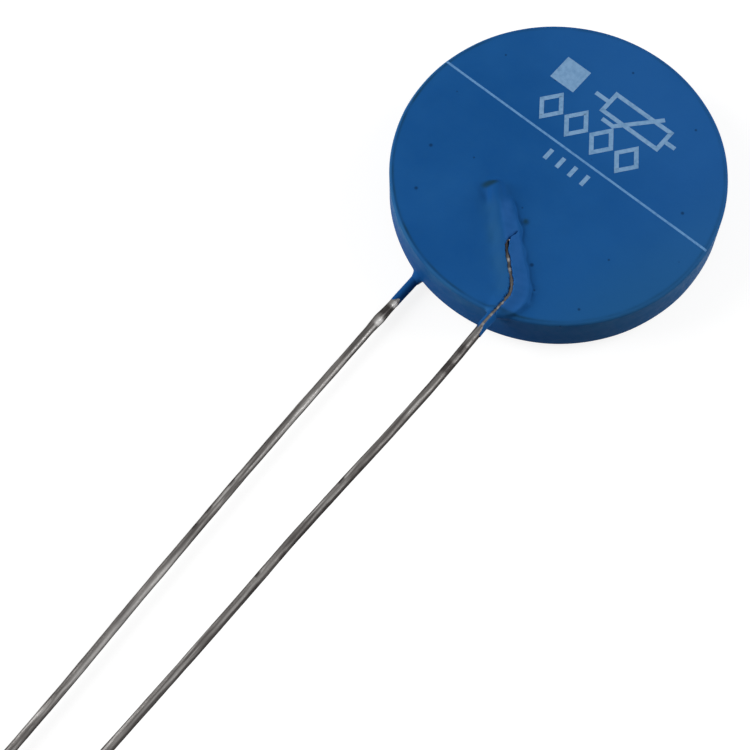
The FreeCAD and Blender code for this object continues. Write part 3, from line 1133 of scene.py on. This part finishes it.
@dataclass
class PrintedMarking:
    """A screen-printed line across the face, and rows of plain marks above and below it."""

    coat: LacquerCoat
    line_level: float = 1.21
    line_half_length: float = 8.40
    line_width: float = 0.125
    stroke_width: float = 0.23
    mitre_limit: float = 0.4
    step: float = 0.07
    ink_height: float = 0.006
    ink_depth: float = 0.02
    layer: float = 0.0015
    layers: int = 3
    row: int = 4
    diamond: Pair = (-2.6, 2.68)
    diamond_size: Pair = (0.62, 0.82)
    diamond_pitch: float = 1.62
    dash: Pair = (-0.95, 0.05)
    dash_length: float = 0.67
    dash_pitch: float = 0.78

    def shapes(self) -> list[tuple[Mark, list[Pair]]]:
        """The marks' corners: a resistor sign with a bent arm, a row of diamonds and a row of dashes.

        Returns:
            Each mark's kind and its corners.
        """
        marks = [
            (Mark.FIELD, [(-3.75, 4.0), (-2.25, 4.0), (-2.25, 5.5), (-3.75, 5.5)]),
            (Mark.OUTLINE, [(-0.45, 4.15), (3.05, 4.15), (3.05, 5.35), (-0.45, 5.35)]),
            (Mark.STROKE, [(-1.35, 4.75), (-0.45, 4.75)]),
            (Mark.STROKE, [(3.05, 4.75), (3.75, 4.75)]),
            (Mark.STROKE, [(-0.15, 3.75), (0.55, 3.75), (2.35, 5.75)]),
        ]
        (x, y), (wide, high) = self.diamond, self.diamond_size
        left, low = self.dash
        for index in range(self.row):
            at = x + self.diamond_pitch * index
            marks.append((Mark.OUTLINE, [(at, y - high), (at + wide, y), (at, y + high), (at - wide, y)]))
            at = left + self.dash_pitch * index
            marks.append((Mark.STROKE, [(at, low), (at, low + self.dash_length)]))
        return marks

    def ribbon(self, corners: list[Pair], width: float, closed: bool) -> Shell:
        """A flat stroke with mitred corners, cut into short lengths that follow the face.

        Args:
            corners: The stroke's centre line.
            width: Its width.
            closed: Whether its end joins its start.

        Returns:
            Points and faces of a thin closed plate.
        """
        line = np.array(corners + corners[:1] if closed else corners)
        spread = []
        for start, end in zip(line[:-1], line[1:]):
            count = max(1, int(np.hypot(*(end - start)) / self.step))
            spread += [start + (end - start) * (k / count) for k in range(count)]
        centre = np.array(spread if closed else spread + [line[-1]])
        before, after = np.roll(centre, 1, axis=0), np.roll(centre, -1, axis=0)
        if not closed:
            before[0], after[-1] = 2.0 * centre[0] - centre[1], 2.0 * centre[-1] - centre[-2]
        first, second = unit(centre - before), unit(after - centre)
        normal = left_of(unit(first + second))
        lean = np.abs(np.sum(normal * left_of(first), axis=1))
        offset = normal * (width / 2.0 / np.maximum(lean, self.mitre_limit))[:, None]
        points = []
        for rise in (self.ink_height, -self.ink_depth):
            for side in (centre + offset, centre - offset):
                points.append(np.column_stack([side, self.coat.level_at(side) + rise]))
        count = len(centre)
        faces = []
        for k in range(count if closed else count - 1):
            n = (k + 1) % count
            for a, b in ((0, 1), (1, 3), (3, 2), (2, 0)):
                faces.append((a * count + k, b * count + k, b * count + n, a * count + n))
        if not closed:
            faces.append((0, 2 * count, 3 * count, count))
            faces.append((count - 1, 2 * count - 1, 4 * count - 1, 3 * count - 1))
        return np.vstack(points), faces

    def plate(self, corners: list[Pair]) -> Shell:
        """A solid field of ink.

        Args:
            corners: Its corners, counter-clockwise.

        Returns:
            Points and faces of a thin closed plate.
        """
        level = self.coat.level_at(np.array(corners))
        count = len(corners)
        top, low = (np.column_stack([corners, level + rise]) for rise in (self.ink_height, -self.ink_depth))
        ends = [tuple(range(count)), tuple(range(2 * count - 1, count - 1, -1))]
        return np.vstack([top, low]), ends + bands(2, count)

    def build(self, ink: Material, line_ink: Material) -> list[Piece]:
        """Prints the marks and the line.

        Args:
            ink: Ink of the marks.
            line_ink: Ink of the line.

        Returns:
            The finished pieces.
        """
        shells = []
        for order, (kind, corners) in enumerate(self.shapes()):
            if kind is Mark.FIELD:
                points, faces = self.plate(corners)
            else:
                points, faces = self.ribbon(corners, self.stroke_width, kind is Mark.OUTLINE)
            shells.append((points + UP * self.layer * (order % self.layers), faces))
        marks = mesh_object("printed_marks", *joined(shells))
        ends = [(-self.line_half_length, self.line_level), (self.line_half_length, self.line_level)]
        line = mesh_object("printed_line", *self.ribbon(ends, self.line_width, False))
        for piece, material in ((marks, ink), (line, line_ink)):
            piece.data.shade_flat()
            piece.data.materials.append(material)
            hand_over(piece, "lacquer")
        return [marks, line]


# The picture


@dataclass
class Studio:
    """The camera at the photograph's angle, soft light and a pale floor.

    The key and the fill are each a bearing from +X towards +Y, in degrees, and the brightness that the
    lamp gives a white surface that faces it.
    """

    eye: Triple = (22.808, -37.831, 83.183)
    right: Triple = (0.75486, 0.65556, -0.02075)
    up: Triple = (-0.60256, 0.70564, 0.37281)
    lens: float = 86.4
    sensor: float = 36.0
    clip_metres: Pair = (0.001, 20.0)
    sky: float = 0.20
    key: Pair = (-145.0, 0.95)
    fill: Pair = (48.0, 0.74)
    lamp_zenith_deg: float = 61.0
    lamp_distance: float = 350.0
    lamp_size: float = 260.0
    floor_size: float = 3000.0
    floor_lit: Colour = (0.25, 0.25, 0.25)
    floor_seen: Colour = (0.28, 0.28, 0.28)
    floor_glow: float = 0.83

    def camera(self) -> None:
        """Places the camera."""
        data = bpy.data.cameras.new("camera")
        data.lens, data.sensor_width = self.lens, self.sensor
        data.clip_start, data.clip_end = self.clip_metres
        right, up = Vector(self.right).normalized(), Vector(self.up).normalized()
        turn = Matrix((right, up, right.cross(up))).transposed()
        camera = bpy.data.objects.new("camera", data)
        camera.matrix_world = Matrix.Translation(Vector(self.eye) * MM) @ turn.to_4x4()
        bpy.context.scene.collection.objects.link(camera)
        bpy.context.scene.camera = camera

    def lamp(self, name: str, bearing_deg: float, level: float) -> None:
        """A square soft lamp that shines on the disc.

        Args:
            name: Name of the lamp.
            bearing_deg: Its bearing from the disc.
            level: Its brightness on the disc.
        """
        bearing, zenith = math.radians(bearing_deg), math.radians(self.lamp_zenith_deg)
        flat = math.sin(zenith)
        way = Vector((flat * math.cos(bearing), flat * math.sin(bearing), math.cos(zenith)))
        distance = self.lamp_distance * MM
        data = bpy.data.lights.new(name, "AREA")
        data.size = self.lamp_size * MM
        data.energy = level * math.pi ** 2 * distance ** 2
        lamp = bpy.data.objects.new(name, data)
        lamp.location = way * distance
        lamp.rotation_euler = way.to_track_quat("Z", "Y").to_euler()
        bpy.context.scene.collection.objects.link(lamp)

    def lights(self) -> None:
        """Two large low lamps, from the picture's left and its right, and the sky all round."""
        self.lamp("key", *self.key)
        self.lamp("fill", *self.fill)
        world = bpy.data.worlds.new("sky")
        bpy.context.scene.world = world
        world.use_nodes = True
        web = NodeWeb(world.node_tree)
        lit, shown = web.put("ShaderNodeBackground", WHITE, self.sky), web.put("ShaderNodeBackground", WHITE)
        self._two_ways(web, lit, shown, "ShaderNodeOutputWorld")

    def _two_ways(self, web: NodeWeb, lit: bpy.types.Node, shown: bpy.types.Node, output: str) -> None:
        """Lights with one shader and shows another to the eye, in reflections and through glass.

        Args:
            web: The nodes.
            lit: What lights.
            shown: What is seen.
            output: Blender's type of the output node.
        """
        path = web.put("ShaderNodeLightPath").outputs
        share = path["Is Camera Ray"]
        for name in ("Is Glossy Ray", "Is Transmission Ray"):
            share = web.math("MAXIMUM", share, path[name])
        web.put(output, web.put("ShaderNodeMixShader", share, lit.outputs[0], shown.outputs[0]).outputs[0])

    def floor(self, level: float) -> None:
        """A pale floor that the eye sees as white and that keeps the object's soft shadow.

        Args:
            level: Height of the floor, in metres.
        """
        half = self.floor_size / 2.0
        corners = [(-half, -half), (half, -half), (half, half), (-half, half)]
        floor = mesh_object("floor", np.column_stack([corners, np.full(4, level / MM)]), [(0, 1, 2, 3)])
        material = bpy.data.materials.new("pale_floor")
        material.use_nodes = True
        web = NodeWeb(material.node_tree)
        lit, pale = (web.put("ShaderNodeBsdfDiffuse", grey) for grey in (self.floor_lit, self.floor_seen))
        glow = web.put("ShaderNodeEmission", Strength=self.floor_glow)
        shown = web.put("ShaderNodeAddShader", pale.outputs[0], glow.outputs[0])
        self._two_ways(web, lit, shown, "ShaderNodeOutputMaterial")
        floor.data.materials.append(material)
        floor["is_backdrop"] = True


# The model


def dress_inner_parts() -> None:
    """Gives the solids under the lacquer their own finishes."""
    finishes = {
        InnerFinish("sintered_ceramic", (0.16, 0.13, 0.11), (0.11, 0.09, 0.075), 3.0, 0.0, (0.75, 0.9),
                    0.02): ("ceramic_disc",),
        InnerFinish("metal_film", (0.66, 0.65, 0.62), (0.52, 0.51, 0.49), 6.0, 1.0, (0.4, 0.6),
                    0.01): ("front_electrode", "rear_electrode"),
        InnerFinish("flowed_solder", (0.46, 0.46, 0.45), (0.34, 0.34, 0.33), 4.0, 1.0, (0.25, 0.45),
                    0.03): ("front_solder", "rear_solder"),
    }
    for finish, nodes in finishes.items():
        material = finish.build()
        for node in nodes:
            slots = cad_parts[node].data.materials
            slots.clear()
            slots.append(material)
            log.info("%s: %s", node, finish.name)


def main() -> None:
    """Builds the visual model in order and sets up the picture."""
    logging.basicConfig(level=logging.INFO, format="%(message)s")
    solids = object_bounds()
    studio = Studio()
    studio.camera()
    front = WireLead(
        Lead.FRONT, [(-1.5, -3.0544), (2.59, -6.7544), (2.59, -9.05), (3.1019, -43.55)],
        bends=[1.0, 12.0], level=2.55, seed=3,
        sway=[
            (-9.0, 0.0), (-11.4, 0.08), (-13.4, 0.115), (-16.7, 0.09), (-19.4, 0.03), (-23.3, -0.02),
            (-26.5, 0.03), (-31.0, 0.055), (-35.0, 0.05), (-43.55, 0.0),
        ],
    )
    rear = WireLead(
        Lead.REAR, [(1.5, -3.1592), (-2.31, -6.8592), (-2.31, -11.55), (-0.8009, -43.55)],
        bends=[1.0, 12.0], level=-0.05, seed=9, lump_at=9.7, lump_height=0.05, lump_length=0.5,
        sway=[
            (-8.5, 0.0), (-10.0, 0.05), (-12.8, 0.02), (-15.5, -0.02), (-17.5, -0.055), (-22.2, -0.08),
            (-26.0, -0.06), (-29.8, -0.035), (-32.2, 0.005), (-35.0, 0.045), (-38.2, 0.04), (-43.55, 0.0),
        ],
    )
    front.build(WireFinish(
        "front_tinned_wire", 2.0, painted_highlight=0.25, highlight_side=(-0.31, -0.95), shaded_side=(-0.94, -0.34),
        dark_patches=(
            (2.8, 0.8, 0.95), (4.3, 1.6, 0.5), (7.2, 1.3, 0.5), (9.1, 1.6, 0.5), (9.5, 0.35, 0.4),
            (10.65, 0.45, 1.0),
        ),
        highlight_patches=(
            (3.83, 0.12, 0.55), (4.36, 0.12, 0.45), (6.3, 0.1, 0.35), (6.65, 0.1, 0.35), (7.15, 0.1, 0.25),
            (7.8, 0.1, 0.3),
        ),
        left_nicks=((18.3, 0.26, 0.95), (24.25, 0.2, 0.95)),
        right_nicks=(
            (17.25, 0.2, 0.7), (19.7, 0.3, 0.9), (21.5, 0.9, 0.8), (22.8, 0.3, 0.9), (24.9, 0.5, 0.8),
        ),
    ).build())
    rear.build(WireFinish(
        "rear_tinned_wire", 5.0, painted_highlight=0.45, highlight_side=(-0.62, -0.79), shaded_side=(-0.98, 0.17),
        dark_patches=((9.15, 0.42, 1.0),),
        highlight_patches=((8.62, 0.2, 0.9), (9.85, 0.28, 1.0), (29.0, 5.0, 0.25)),
        left_nicks=((20.95, 0.3, 0.9), (22.7, 0.3, 0.8), (23.75, 0.24, 0.95)),
    ).build())
    coat = LacquerCoat(front, rear)
    coat.build(LacquerFinish().build(), (
        Sleeve(front, 6.4, 1.95, 0.05, (-0.1, 0.0, 1.0), bare_deg=18.0, lean=0.10, seed=31),
        Sleeve(rear, 6.3, 2.7, 0.025, (0.0, 0.0, 1.0), bare_deg=-20.0, lean=-0.10, seed=43),
    ))
    PrintedMarking(coat).build(
        InkFinish("pale_ink", (0.195, 0.350, 0.560), (0.110, 0.245, 0.440)).build(),
        InkFinish("line_ink", (0.120, 0.285, 0.540), (0.060, 0.180, 0.410)).build(),
    )
    dress_inner_parts()
    studio.floor(solids[0].z)
    studio.lights()
    bpy.context.scene.view_settings.view_transform = "Standard"


if __name__ == "__main__":
    main()
